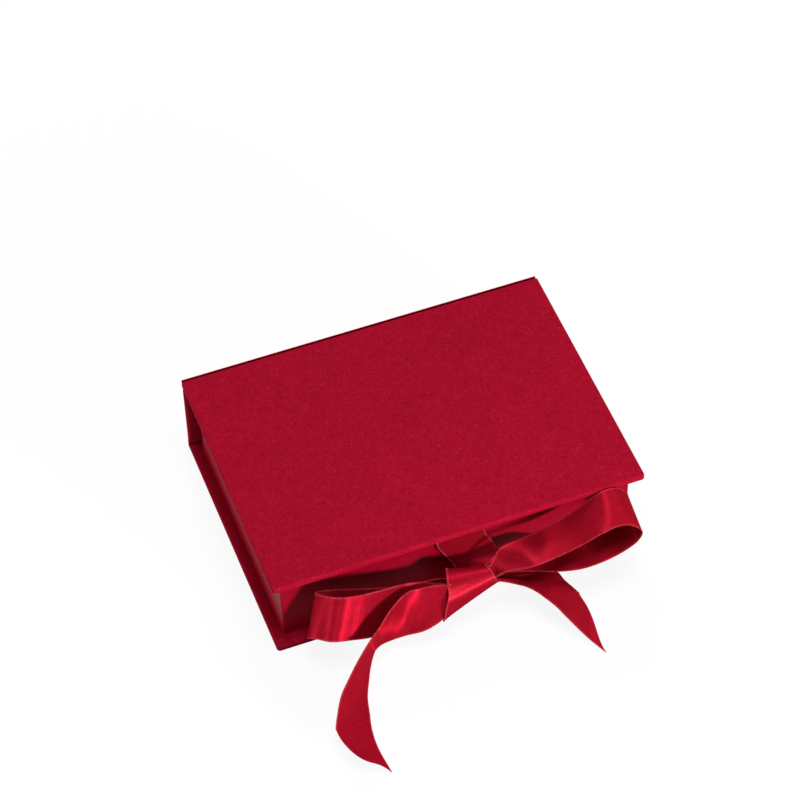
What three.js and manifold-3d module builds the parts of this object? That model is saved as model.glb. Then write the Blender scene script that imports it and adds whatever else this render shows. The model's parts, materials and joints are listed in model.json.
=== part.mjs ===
// Ribbon-tied keepsake box: a cloth-covered case of lid, spine and base boards around a shallow lined tray.
// Millimetres, +Z up, +X along the length, +Y towards the spine. The origin is the middle of the underside.
import * as THREE from 'three';
import { mergeVertices } from 'three/addons/utils/BufferGeometryUtils.js';
import Module from 'manifold-3d';

// Case
const caseLength = 170; // lid and base along X, cloth included
const caseDepth = 124; // front edge to back edge of lid and base, cloth included
const caseHeight = 44; // table to the top of the lid
const coverBoard = 2.1; // greyboard of lid, spine and base
const clothThickness = 0.4; // book cloth
const glueLine = 0.05; // space between glued layers
const clothCorner = 1.6; // radius of the folded front corners of lid and base, seen from above
const hingeCorner = 0.6; // radius of their back corners, where the cloth runs on over the hinge
const clothEdge = 0.5; // rounding of the cloth over a board's edge
const turnIn = 15; // border of cloth turned over a board's edge

// Cloth hinges
const hingeInset = 1.5; // hinge line in from the outer faces of the cover
const hingeClearance = 0.2; // between a hinge cloth and what turns past it
const hingeRise = 80; // degrees of hinge cloth on the spine's side of its hinge line
const spineInset = 0.4; // spine's outer face in from the cover's back edge
const spineCorner = 1.2; // radius of the covered ends of the spine

// Tray
const frontSquare = 6; // cover past the tray at the front
const endSquare = 4.8; // cover past the tray at each end
const spineGap = 4; // tray's back wall to the spine's inner face
const trayBoard = 1.8; // greyboard of floor and walls
const wrapThickness = 0.3; // paper round the outside and over the rim
const wrapCorner = 1; // radius of the tray's outer corners
const rimTurn = 12; // wrap turned down inside the rim
const trayLining = 0.3; // paper on the inside of walls and floor
const lidRest = 0.3; // lid's lining above the rim

// Lid lining
const lidLining = 0.7; // thin card covered in paper
const liningBorder = 5; // cloth left bare round the lining

// Ribbon
const ribbonWidth = 22;
const ribbonThickness = 0.4;
const ribbonTab = 30; // glued length under the lining or the tray
const ribbonPlay = 0.3; // free space round a glued tab, and between the knot and what comes out of it
const bowSteps = 44; // sweep steps along a loop or a tail
const leadSteps = 30; // sweep steps along a ribbon that is glued to the case
const ribbonColumns = 2; // facets across the ribbon

// Knot
const knotFan = { reach: 10.5, depth: 5 }; // half sizes at the left, where the band fans out
const knotWaist = { reach: 4, depth: 3.5 }; // half sizes at the right, where the band is drawn tight
const knotCrease = { depth: 0.16, width: 0.35, angle: 1.75 }; // share of the section, radians, radians
const knotEase = 0.1; // how far the ends of the knot are rounded in, as a share of the section
const knotRings = 12;
const knotSides = 28;

// Levels and faces that several pieces share
const overcut = 1; // how far a cutting block stands past what it cuts
const coverThickness = coverBoard + 2 * (clothThickness + glueLine);
const lidUnder = caseHeight - coverThickness;
const caseEnd = caseLength / 2;
const caseFront = -caseDepth / 2;
const caseBack = caseDepth / 2;
const hingeReach = Math.max(hingeInset, coverThickness - hingeInset);
const hingeInner = Math.hypot(hingeInset, hingeReach) + hingeClearance;
const hingeOuter = hingeInner + clothThickness;
const spineFoot = hingeInset + hingeOuter + hingeClearance;
const spineHead = caseHeight - spineFoot;
const spineOuter = caseBack - spineInset;
const spineInner = spineOuter - coverThickness;
const trayEnd = caseEnd - endSquare;
const trayFront = caseFront + frontSquare;
const trayBack = spineInner - spineGap;
const trayFoot = coverThickness + glueLine;
const trayRim = lidUnder - lidLining - lidRest;
const wrapLayer = wrapThickness + glueLine;
const ribbonLayer = ribbonThickness + 2 * glueLine;
const ribbonSlot = ribbonWidth / 2 + ribbonPlay;

const finishes = {
  cloth: { color: 0x9d0d25, roughness: 0.85, metalness: 0 },
  board: { color: 0x8f8a80, roughness: 0.95, metalness: 0 },
  paper: { color: 0x8e1528, roughness: 0.7, metalness: 0 },
  satin: { color: 0xb3122e, roughness: 0.35, metalness: 0 },
};

const wasm = await Module();
wasm.setup();
const box = new THREE.Group();

function add(name, geometry, finish) {
  const mesh = new THREE.Mesh(geometry, new THREE.MeshStandardMaterial(finishes[finish]));
  mesh.name = name;
  box.add(mesh);
}

// Closed geometry as a solid that can be cut
function toSolid(geometry) {
  const bare = geometry.clone();
  bare.deleteAttribute('normal');
  bare.deleteAttribute('uv');
  const merged = mergeVertices(bare, 1e-5);
  const vertProperties = new Float32Array(merged.attributes.position.array);
  const triVerts = new Uint32Array(merged.index.array);
  return new wasm.Manifold(new wasm.Mesh({ numProp: 3, vertProperties, triVerts }));
}

function toGeometry(solid) {
  const mesh = solid.getMesh();
  const geometry = new THREE.BufferGeometry();
  geometry.setAttribute('position', new THREE.BufferAttribute(new Float32Array(mesh.vertProperties), 3));
  geometry.setIndex(new THREE.BufferAttribute(new Uint32Array(mesh.triVerts), 1));
  return geometry;
}

// A geometry with each of the tools taken out of it
function cut(geometry, ...tools) {
  return toGeometry(tools.reduce((solid, tool) => solid.subtract(toSolid(tool)), toSolid(geometry)));
}

// Box between two corners
function block(low, high) {
  const size = high.map((value, axis) => value - low[axis]);
  const middle = high.map((value, axis) => (value + low[axis]) / 2);
  return new THREE.BoxGeometry(...size).translate(...middle);
}

// Two corners of a box drawn in by a margin on each axis
function inside(low, high, margin) {
  return [low.map((value, axis) => value + margin[axis]), high.map((value, axis) => value - margin[axis])];
}

function roundedOutline(low, high, front, back) {
  const [x0, y0] = low;
  const [x1, y1] = high;
  const outline = new THREE.Shape();
  outline.moveTo(x0 + front, y0);
  outline.lineTo(x1 - front, y0);
  outline.absarc(x1 - front, y0 + front, front, -Math.PI / 2, 0);
  outline.lineTo(x1, y1 - back);
  outline.absarc(x1 - back, y1 - back, back, 0, Math.PI / 2);
  outline.lineTo(x0 + back, y1);
  outline.absarc(x0 + back, y1 - back, back, Math.PI / 2, Math.PI);
  outline.lineTo(x0, y0 + front);
  outline.absarc(x0 + front, y0 + front, front, Math.PI, 1.5 * Math.PI);
  return outline;
}

// Plate between two corners, with its front and back corners rounded in plan and, where an edge is given,
// its upper and lower rims rounded too
function plate(low, high, front, back, edge = 0) {
  const [from, to] = inside(low, high, [edge, edge, edge]);
  const geometry = new THREE.ExtrudeGeometry(roundedOutline(from, to, front - edge, back - edge), {
    depth: to[2] - from[2],
    bevelEnabled: edge > 0,
    bevelSize: edge,
    bevelThickness: edge,
    bevelSegments: 3,
    curveSegments: 4,
  });
  return geometry.translate(0, 0, from[2]);
}

// A board in its cloth. The cloth covers one side and the edges and turns in round the other side.
// An infill card lies inside the turned-in border, between the heights that bare gives.
function coveredBoard(name, low, high, bare) {
  const skin = [clothThickness, clothThickness, clothThickness];
  const glue = [glueLine, glueLine, glueLine];
  const border = [turnIn, turnIn, 0];
  const [pocketLow, pocketHigh] = inside(low, high, skin);
  const [boardLow, boardHigh] = inside(pocketLow, pocketHigh, glue);
  const [windowLow, windowHigh] = inside([low[0], low[1], bare[0]], [high[0], high[1], bare[1]], border);
  const [cardLow, cardHigh] = inside(windowLow, windowHigh, [glueLine, glueLine, 0]);
  const window = inside(windowLow, windowHigh, [0, 0, -clothThickness]);
  const pocketCorners = [clothCorner - clothThickness, hingeCorner - clothThickness];
  const boardCorners = pocketCorners.map((radius) => radius - glueLine);
  add(
    `${name}_cover_cloth`,
    cut(
      plate(low, high, clothCorner, hingeCorner, clothEdge),
      plate(pocketLow, pocketHigh, ...pocketCorners),
      block(...window),
    ),
    'cloth',
  );
  add(`${name}_board`, plate(boardLow, boardHigh, ...boardCorners), 'board');
  add(`${name}_infill`, block(cardLow, cardHigh), 'board');
}

// Lid and base
coveredBoard(
  'lid',
  [-caseEnd, caseFront, lidUnder],
  [caseEnd, caseBack, caseHeight],
  [lidUnder, lidUnder + clothThickness],
);
coveredBoard(
  'base',
  [-caseEnd, caseFront, 0],
  [caseEnd, caseBack, coverThickness],
  [coverThickness - clothThickness, coverThickness],
);

// Lid lining: a thin card over the turned-in cloth, relieved above for the glued end of the upper ribbon
const liningTop = lidUnder - glueLine;
const liningFront = caseFront + liningBorder;
add(
  'lid_lining',
  cut(
    block(
      [-caseEnd + liningBorder, liningFront, liningTop - lidLining],
      [caseEnd - liningBorder, caseBack - liningBorder, liningTop],
    ),
    block(
      [-ribbonSlot, liningFront - overcut, lidUnder - ribbonLayer],
      [ribbonSlot, liningFront + ribbonTab + ribbonPlay, lidUnder],
    ),
  ),
  'paper',
);

// Spine: cloth outside and round both ends, and a lining strip between the turned-in ends
const spineLow = [-caseEnd, spineInner, spineFoot];
const spineHigh = [caseEnd, spineOuter, spineHead];
const spinePocket = inside(spineLow, spineHigh, [clothThickness, clothThickness, -overcut]);
const spineCore = inside(spineLow, spineHigh, [clothThickness + glueLine, clothThickness + glueLine, 0]);
const spineWindow = caseEnd - turnIn;
const spineLiningOuter = spineInner + clothThickness;
add(
  'spine_cover_cloth',
  cut(
    plate(spineLow, spineHigh, spineCorner, spineCorner),
    plate(...spinePocket, spineCorner - clothThickness, spineCorner - clothThickness),
    block(
      [-spineWindow, spineInner - overcut, spineFoot - overcut],
      [spineWindow, spineLiningOuter + glueLine, spineHead + overcut],
    ),
  ),
  'cloth',
);
const spineCoreCorner = spineCorner - clothThickness - glueLine;
add('spine_board', plate(...spineCore, spineCoreCorner, spineCoreCorner), 'board');
add(
  'spine_lining',
  block(
    [-spineWindow + glueLine, spineInner, spineFoot],
    [spineWindow - glueLine, spineLiningOuter, spineHead],
  ),
  'cloth',
);

// Hinge cloths: strips curved about the hinge lines, over the back edges of base and lid.
// Each reaches from the level of its board's outer face round towards the spine.
function hingeCloth(name, level, upended) {
  const start = -Math.asin((hingeInset - glueLine) / hingeOuter);
  const end = THREE.MathUtils.degToRad(hingeRise);
  const section = new THREE.Shape();
  section.absarc(0, 0, hingeOuter, start, end, false);
  section.absarc(0, 0, hingeInner, end, start, true);
  const strip = new THREE.ExtrudeGeometry(section, {
    depth: caseLength - 2 * clothEdge,
    bevelEnabled: false,
    curveSegments: 10,
  });
  const alongX = new THREE.Matrix4().makeBasis(
    new THREE.Vector3(0, 1, 0),
    new THREE.Vector3(0, 0, 1),
    new THREE.Vector3(1, 0, 0),
  );
  strip.applyMatrix4(alongX).translate(clothEdge - caseEnd, 0, 0);
  if (upended) strip.applyMatrix4(new THREE.Matrix4().makeRotationX(Math.PI)).rotateZ(Math.PI);
  add(name, strip.translate(0, caseBack - hingeInset, level), 'cloth');
}
hingeCloth('lower_hinge_cloth', hingeInset, false);
hingeCloth('upper_hinge_cloth', caseHeight - hingeInset, true);

// Tray boards: a floor, front and back walls on it, and end walls between those
const boardEnd = trayEnd - wrapLayer;
const boardFront = trayFront + wrapLayer;
const boardBack = trayBack - wrapLayer;
const floorTop = trayFoot + trayBoard;
const wallFoot = floorTop + glueLine;
const wallTop = trayRim - wrapLayer;
const wellEnd = boardEnd - trayBoard - glueLine;
const wellFront = boardFront + trayBoard + glueLine;
const wellBack = boardBack - trayBoard - glueLine;
const lowerTabSlot = block(
  [-ribbonSlot, trayFront - overcut, trayFoot - overcut],
  [ribbonSlot, trayFront + ribbonTab + ribbonPlay, coverThickness + ribbonLayer],
);
const trayFloor = block([-boardEnd, boardFront, trayFoot], [boardEnd, boardBack, floorTop]);
add('tray_floor_board', cut(trayFloor, lowerTabSlot), 'board');
const trayWalls = {
  tray_front_wall: [[-boardEnd, boardFront], [boardEnd, boardFront + trayBoard]],
  tray_back_wall: [[-boardEnd, boardBack - trayBoard], [boardEnd, boardBack]],
  tray_left_wall: [[-boardEnd, wellFront], [trayBoard - boardEnd, wellBack]],
  tray_right_wall: [[boardEnd - trayBoard, wellFront], [boardEnd, wellBack]],
};
for (const [name, [low, high]] of Object.entries(trayWalls)) {
  add(name, block([...low, wallFoot], [...high, wallTop]), 'board');
}

// Tray wrap: paper round the outside, over the rim and a short way down inside
const skirtFoot = trayRim - rimTurn;
const wallSpaceLow = [-boardEnd - glueLine, boardFront - glueLine, trayFoot - overcut];
const wallSpaceHigh = [boardEnd + glueLine, boardBack + glueLine, wallTop + glueLine];
const skirt = block([-wellEnd, wellFront, skirtFoot], [wellEnd, wellBack, trayRim]);
add(
  'tray_wrap',
  cut(
    plate([-trayEnd, trayFront, trayFoot], [trayEnd, trayBack, trayRim], wrapCorner, wrapCorner),
    cut(block(wallSpaceLow, wallSpaceHigh), skirt),
    block(
      [wrapThickness - wellEnd, wellFront + wrapThickness, skirtFoot - overcut],
      [wellEnd - wrapThickness, wellBack - wrapThickness, trayRim + overcut],
    ),
    lowerTabSlot,
  ),
  'paper',
);

// Tray linings: a sheet on the floor and a band round the walls up to the turned-in wrap
const sheetTop = wallFoot + trayLining;
add('tray_floor_lining', block([-wellEnd, wellFront, wallFoot], [wellEnd, wellBack, sheetTop]), 'paper');
add(
  'tray_wall_lining',
  cut(
    block([-wellEnd, wellFront, sheetTop + glueLine], [wellEnd, wellBack, skirtFoot - glueLine]),
    block(
      [trayLining - wellEnd, wellFront + trayLining, sheetTop],
      [wellEnd - trayLining, wellBack - trayLining, skirtFoot],
    ),
  ),
  'paper',
);

// Places about the bow: mm in front of the case, a share of the overhang behind its front edge,
// and a share of the height from the table to the underside of the lid
const ahead = (distance) => caseFront - distance;
const under = (share) => caseFront + share * frontSquare;
const level = (share) => share * lidUnder;

// A station of a ribbon: a point of one edge, the way across to its other edge, and the share of the
// full width that is left where the ribbon is gathered towards the knot
function station(edge, across, gather = 1) {
  const near = new THREE.Vector3(...edge);
  const far = new THREE.Vector3(...across).setLength(ribbonWidth * gather).add(near);
  return { near, far };
}

// A closed ribbon through its stations. cutBack gives the share of the run that the oblique cut at the
// end takes off each edge.
function ribbon(name, stations, steps, cutBack = [0, 0]) {
  const nearEdge = new THREE.CatmullRomCurve3(stations.map((place) => place.near));
  const farEdge = new THREE.CatmullRomCurve3(stations.map((place) => place.far));
  const place = (run, across) => {
    const along = run * (1 - run * THREE.MathUtils.lerp(...cutBack, across));
    return nearEdge.getPoint(along).lerp(farEdge.getPoint(along), across);
  };
  const nudge = 1e-3;
  const faceNormal = (run, across) => {
    const before = place(Math.max(run - nudge, 0), across);
    const lengthways = place(Math.min(run + nudge, 1), across).sub(before);
    const crossways = place(run, 1).sub(place(run, 0));
    return lengthways.cross(crossways).setLength(ribbonThickness / 2);
  };
  const positions = [];
  for (const side of [1, -1]) {
    for (let i = 0; i <= steps; i += 1) {
      for (let j = 0; j <= ribbonColumns; j += 1) {
        const run = i / steps;
        const across = j / ribbonColumns;
        positions.push(...place(run, across).addScaledVector(faceNormal(run, across), side));
      }
    }
  }
  const row = ribbonColumns + 1;
  const layer = row * (steps + 1);
  const quads = [];
  for (let i = 0; i < steps; i += 1) {
    const first = i * row;
    const last = first + ribbonColumns;
    for (let at = first; at < last; at += 1) {
      quads.push([at, at + row, at + row + 1, at + 1]);
      quads.push([layer + at, layer + at + 1, layer + at + row + 1, layer + at + row]);
    }
    quads.push([first, first + layer, first + layer + row, first + row]);
    quads.push([last, last + row, last + layer + row, last + layer]);
  }
  const lastRow = steps * row;
  for (let j = 0; j < ribbonColumns; j += 1) {
    quads.push([j, j + 1, j + 1 + layer, j + layer]);
    quads.push([lastRow + j, lastRow + j + layer, lastRow + j + 1 + layer, lastRow + j + 1]);
  }
  add(name, closed(positions, quads), 'satin');
}

// Geometry from points and four-sided or three-sided faces, turned to face outwards
function closed(positions, faces) {
  const corners = faces.flatMap(([a, b, c, d]) => (d === undefined ? [a, b, c] : [a, b, c, a, c, d]));
  const point = (index) => new THREE.Vector3(...positions.slice(3 * index, 3 * index + 3));
  let volume = 0;
  for (let i = 0; i < corners.length; i += 3) {
    volume += point(corners[i]).dot(point(corners[i + 1]).cross(point(corners[i + 2])));
  }
  const geometry = new THREE.BufferGeometry();
  geometry.setAttribute('position', new THREE.Float32BufferAttribute(positions, 3));
  geometry.setIndex(volume < 0 ? corners.reverse() : corners);
  return geometry;
}

// Knot: a band drawn round the bow, wide where it fans out at the left and tight at the right
const knotLeft = new THREE.Vector3(-13, ahead(11.5), level(0.49));
const knotRight = new THREE.Vector3(10, ahead(10), level(0.55));
const knotUp = new THREE.Vector3(0, 0.58, 0.8).normalize();
const knotOut = new THREE.Vector3(0, -0.8, 0.58).normalize();

function knot() {
  const positions = [];
  const faces = [];
  for (let ring = 0; ring < knotRings; ring += 1) {
    const run = ring / (knotRings - 1);
    const centre = knotLeft.clone().lerp(knotRight, run);
    const reach = THREE.MathUtils.lerp(knotFan.reach, knotWaist.reach, run);
    const depth = THREE.MathUtils.lerp(knotFan.depth, knotWaist.depth, run);
    for (let side = 0; side < knotSides; side += 1) {
      const turn = (2 * Math.PI * side) / knotSides;
      const off = (turn - knotCrease.angle) / knotCrease.width;
      const swell = (1 - knotCrease.depth * Math.exp(-off * off)) * (1 - knotEase * (2 * run - 1) ** 4);
      const point = centre
        .clone()
        .addScaledVector(knotUp, reach * swell * Math.cos(turn))
        .addScaledVector(knotOut, depth * swell * Math.sin(turn));
      positions.push(...point);
    }
  }
  for (let ring = 0; ring < knotRings - 1; ring += 1) {
    for (let side = 0; side < knotSides; side += 1) {
      const here = ring * knotSides + side;
      const next = ring * knotSides + ((side + 1) % knotSides);
      faces.push([here, next, next + knotSides, here + knotSides]);
    }
  }
  const ends = [[0, knotLeft], [(knotRings - 1) * knotSides, knotRight]];
  for (const [first, middle] of ends) {
    const hub = positions.length / 3;
    positions.push(...middle);
    for (let side = 0; side < knotSides; side += 1) {
      const pair = [first + side, first + ((side + 1) % knotSides)];
      faces.push(first === 0 ? [hub, pair[1], pair[0]] : [hub, pair[0], pair[1]]);
    }
  }
  add('bow_knot', closed(positions, faces), 'satin');
}
knot();

// Right loop: lies open towards the front, from the knot out along its top and back underneath
ribbon(
  'bow_right_loop',
  [
    station([knotRight.x + ribbonPlay, ahead(7.5), level(0.64)], [0, -5, -1], 0.25),
    station([15.2, ahead(5), level(0.76)], [0, -10, -3], 0.5),
    station([26.2, ahead(1), level(0.69)], [-1.5, -16.5, 1], 0.75),
    station([36.6, ahead(0.4), level(0.71)], [-3, -20, 5], 0.95),
    station([47.4, ahead(0.4), level(0.8)], [-1, -21, 6]),
    station([56.2, ahead(0.5), level(0.925)], [-0.5, -21.5, 5]),
    station([64.4, ahead(0.6), level(1.05)], [-2, -20.3, 0.1], 0.93),
    station([71, ahead(0.6), level(1.03)], [-2, -20.4, -0.9], 0.93),
    station([76.6, ahead(0.4), level(0.86)], [-2.5, -22, 1]),
    station([75.2, ahead(0.1), level(0.7)], [-2.5, -22, 1.5]),
    station([68.7, ahead(0.1), level(0.59)], [-2.5, -22, 1.5]),
    station([57.9, ahead(0.2), level(0.54)], [-1.5, -22, 1]),
    station([47.4, ahead(0.4), level(0.53)], [-1, -22, 1.5]),
    station([38.8, ahead(0.3), level(0.51)], [-1.5, -20, 2], 0.9),
    station([26.7, ahead(1), level(0.47)], [-0.5, -12.5, 1], 0.58),
    station([knotRight.x + ribbonPlay, ahead(5), level(0.52)], [0, -4.5, -0.5], 0.2),
  ],
  bowSteps,
);

// Left loop: stands on its edge and leans back against the tray
ribbon(
  'bow_left_loop',
  [
    station([knotLeft.x - ribbonPlay, ahead(8.5), level(0.58)], [0, -2.5, -8.5], 0.42),
    station([-19, ahead(7), level(0.65)], [-3, -5.5, -13.5], 0.7),
    station([-26.8, ahead(6), level(0.695)], [-5.5, -7, -18], 0.92),
    station([-39.4, ahead(8.5), level(0.81)], [-8, -8.8, -17.8]),
    station([-49.7, ahead(10.2), level(0.89)], [-8, -7.5, -19]),
    station([-58.2, ahead(9.6), level(0.93)], [-8, -6.5, -19.5]),
    station([-63.3, ahead(5.6), level(0.895)], [-8, -7, -19]),
    station([-66.5, ahead(0), level(0.825)], [-7.5, -9, -18.5]),
    station([-60, ahead(1), level(0.825)], [-6.5, -6.5, -20]),
    station([-44.5, ahead(2), level(0.69)], [-4.5, -6, -20.5]),
    station([-27.5, ahead(3.5), level(0.58)], [-2.5, -4.5, -18], 0.8),
    station([knotLeft.x - ribbonPlay, ahead(6), level(0.6)], [0, -2, -8], 0.38),
  ],
  bowSteps,
);

// Left tail: its lower edge comes down to the table and runs forward
ribbon(
  'bow_left_tail',
  [
    station([knotLeft.x - ribbonPlay, ahead(15.5), level(0.35)], [0, 5.5, 9.5], 0.5),
    station([-18.3, ahead(19.4), level(0.31)], [2, 8, 14.5], 0.8),
    station([-25, ahead(19.8), level(0.26)], [2, 10, 17], 0.9),
    station([-33, ahead(17.8), level(0.21)], [4, 7, 20.5]),
    station([-39.2, ahead(17), level(0.18)], [1, 0.5, 22]),
    station([-43.6, ahead(16.4), level(0.138)], [-2, -5.5, 21]),
    station([-46.3, ahead(16.5), level(0.076)], [-5.5, -8.5, 19.5]),
    station([-50.7, ahead(22.5), level(0.045)], [-8.5, -8.5, 18.5]),
    station([-54, ahead(29), level(0.025)], [-11, -7.5, 17.5]),
    station([-57.5, ahead(37), level(0.025)], [-13.5, -6, 16.5]),
    station([-59.5, ahead(45), level(0.03)], [-16, -5.5, 14]),
    station([-61.5, ahead(53), level(0.045)], [-17, -4, 13.5]),
    station([-62.5, ahead(63.5), level(0.06)], [-16, -1, 12]),
    station([-61.5, ahead(77), level(0.07)], [-16, 2, 11]),
  ],
  bowSteps,
  [0, 0.15],
);

// Right tail: slopes down to the right, with its right edge near the table
ribbon(
  'bow_right_tail',
  [
    station([knotRight.x + ribbonPlay, ahead(9.5), level(0.44)], [0, -4.5, 4.5], 0.28),
    station([27, ahead(8.5), level(0.32)], [-7.9, -8.4, 6.2], 0.6),
    station([40.5, ahead(9), level(0.21)], [-17, -11.9, 8]),
    station([43.3, ahead(12.7), level(0.122)], [-16.5, -12.1, 8.9]),
    station([45.4, ahead(16), level(0.078)], [-15, -13.5, 7.9]),
    station([47.2, ahead(20.3), level(0.055)], [-13.9, -13.1, 6.4], 0.92),
    station([49.5, ahead(26), level(0.045)], [-8.5, -17.8, 1.4], 0.9),
    station([51, ahead(34), level(0.045)], [-5.6, -18.8, 0.6], 0.89),
  ],
  bowSteps,
  [0.29, 0],
);

// Upper ribbon: glued between the lid and its lining, out under the lid's front edge and down behind
// the knot
const half = ribbonWidth / 2;
const upperSeat = lidUnder - glueLine - ribbonThickness / 2;
ribbon(
  'upper_ribbon',
  [
    station([half, liningFront + ribbonTab, upperSeat], [-1, 0, 0]),
    station([half, liningFront + ribbonTab / 2, upperSeat], [-1, 0, 0]),
    station([half, liningFront, upperSeat], [-1, 0, 0]),
    station([half, under(0.68), upperSeat - glueLine], [-1, 0, 0]),
    station([half + 0.2, under(0.58), level(0.96)], [-1, 0, 0]),
    station([half + 0.6, under(0.6), level(0.915)], [-1, 0, -0.02]),
    station([half + 1.2, under(0.5), level(0.866)], [-1, 0, -0.03]),
    station([half + 2.8, under(0.25), level(0.77)], [-1, 0, -0.05], 0.98),
    station([half + 4.9, under(0.08), level(0.656)], [-1, 0, -0.05], 0.96),
    station([half + 6.2, ahead(0.3), level(0.55)], [-1, 0, -0.05], 0.94),
  ],
  leadSteps,
);

// Lower ribbon: glued under the tray, out over the base and up into the back of the knot
const lowerSeat = coverThickness + glueLine + ribbonThickness / 2;
const knotBack = knotLeft.clone().lerp(knotRight, 0.57);
ribbon(
  'lower_ribbon',
  [
    station([-half, trayFront + ribbonTab, lowerSeat], [1, 0, 0]),
    station([-half, trayFront + ribbonTab / 2, lowerSeat], [1, 0, 0]),
    station([-half, trayFront + ribbonPlay, lowerSeat], [1, 0, 0]),
    station([-half, under(0.8), lowerSeat], [1, 0, 0]),
    station([-half, under(0.55), lowerSeat + ribbonThickness], [1, 0, 0]),
    station([-half, ahead(0), level(0.12)], [1, 0, 0]),
    station([-half, ahead(4), level(0.21)], [1, 0, 0]),
    station([-0.8 * half, ahead(7), level(0.33)], [1, 0, 0], 0.8),
    station([-0.6 * half, knotBack.y + 3, knotBack.z - 4.5], [1, 0, 0], 0.6),
  ],
  leadSteps,
);

export default box;
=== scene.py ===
import json
import math

import bpy
import numpy as np
from mathutils import Matrix, Vector


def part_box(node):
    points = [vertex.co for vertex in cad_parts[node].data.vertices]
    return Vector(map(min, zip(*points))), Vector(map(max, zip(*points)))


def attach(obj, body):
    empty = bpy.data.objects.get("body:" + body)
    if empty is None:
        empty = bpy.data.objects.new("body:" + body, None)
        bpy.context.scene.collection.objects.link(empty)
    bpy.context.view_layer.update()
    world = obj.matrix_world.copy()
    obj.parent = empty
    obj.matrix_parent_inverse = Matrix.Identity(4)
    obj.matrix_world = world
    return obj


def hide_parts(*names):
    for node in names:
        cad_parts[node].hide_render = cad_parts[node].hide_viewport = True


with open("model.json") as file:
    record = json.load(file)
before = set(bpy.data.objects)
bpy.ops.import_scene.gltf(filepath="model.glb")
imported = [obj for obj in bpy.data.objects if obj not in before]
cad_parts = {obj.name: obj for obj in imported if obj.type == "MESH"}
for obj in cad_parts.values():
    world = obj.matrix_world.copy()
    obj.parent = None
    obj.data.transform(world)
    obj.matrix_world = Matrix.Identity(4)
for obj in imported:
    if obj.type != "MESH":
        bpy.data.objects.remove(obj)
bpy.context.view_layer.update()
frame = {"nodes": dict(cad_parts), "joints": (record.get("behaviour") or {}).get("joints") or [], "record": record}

mm = 0.001
scene = bpy.context.scene
scene.view_settings.view_transform = "Standard"

# the case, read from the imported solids
lidLow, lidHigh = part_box("lid_cover_cloth")
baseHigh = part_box("base_cover_cloth")[1]
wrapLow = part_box("tray_wrap")[0]
caseFront = lidLow.y
overhang = wrapLow.y - caseFront  # lid past the tray at the front
lidUnder = lidLow.z
glue = 0.05 * mm  # space between glued layers
print("frame loaded, case", [round(v / mm, 1) for v in lidHigh - lidLow], "mm")


# small helpers

def srgb(hexColour):
    channels = [int(hexColour[i:i + 2], 16) / 255 for i in (1, 3, 5)]
    return [c / 12.92 if c <= 0.04045 else ((c + 0.055) / 1.055) ** 2.4 for c in channels] + [1.0]


def addNode(tree, kind, links=None, values=None, **settings):
    node = tree.nodes.new(kind)
    for name, value in settings.items():
        setattr(node, name, value)
    for socket, value in (values or {}).items():
        node.inputs[socket].default_value = value
    for socket, source in (links or {}).items():
        tree.links.new(source, node.inputs[socket])
    return node


def addObject(name, mesh):
    piece = bpy.data.objects.new(name, mesh)
    scene.collection.objects.link(piece)
    return piece


def meshFrom(name, points, faces):
    mesh = bpy.data.meshes.new(name)
    mesh.from_pydata([tuple(p) for p in points], [], faces)
    mesh.update()
    return mesh


def finishMesh(mesh, material, sharpAngle=35):
    mesh.materials.clear()
    mesh.materials.append(material)
    mesh.shade_smooth()
    mesh.set_sharp_from_angle(angle=math.radians(sharpAngle))


def newMaterial(name, **sockets):
    material = bpy.data.materials.new(name)
    material.use_nodes = True
    tree = material.node_tree
    shader = tree.nodes["Principled BSDF"]
    for socket, value in sockets.items():
        shader.inputs[socket.replace("_", " ")].default_value = value
    return material, tree, shader


def addNoise(tree, place, size, detail):
    return addNode(tree, "ShaderNodeTexNoise", {0: place},
                   {"Scale": 1 / (size * mm), "Detail": detail}).outputs[0]


def addDye(tree, share, stops):
    node = addNode(tree, "ShaderNodeValToRGB", {0: share})
    ramp = node.color_ramp
    while len(ramp.elements) < len(stops):
        ramp.elements.new(0.5)
    for element, (position, hexColour) in zip(ramp.elements, stops):
        element.position = position
        element.color = srgb(hexColour)
    return node.outputs[0]


def addRelief(tree, shader, height, strength, depth):
    relief = addNode(tree, "ShaderNodeBump", {"Height": height}, {"Strength": strength, "Distance": depth * mm})
    tree.links.new(relief.outputs[0], shader.inputs["Normal"])


# materials: sizes in mm, relief as strength and depth

redSheen = "#FF8A8A"  # tint of what cloth and paper mirror

# book cloth: dyed cotton in plain weave on a paper back, matte; the eye gets a soft nap, uneven threads
# running both ways and a few pale slubs
clothLook = {
    "dye": [(0.36, "#850820"), (0.5, "#9A0B25"), (0.66, "#AB142E")],
    "slub": "#C4404F",
    "thread": 0.55,  # a little coarser than the real 0.4 so that it shows
    "slubLength": 6.0,
    "slubShare": 0.45,  # slubs to a thread
    "cloud": 24.0,  # drift of the dye
    "tone": (0.97, 1.03),  # darkest and palest drift
    "nap": 4.0,  # uneven threads against the plain weave
    "relief": (0.35, 0.05),
}


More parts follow.
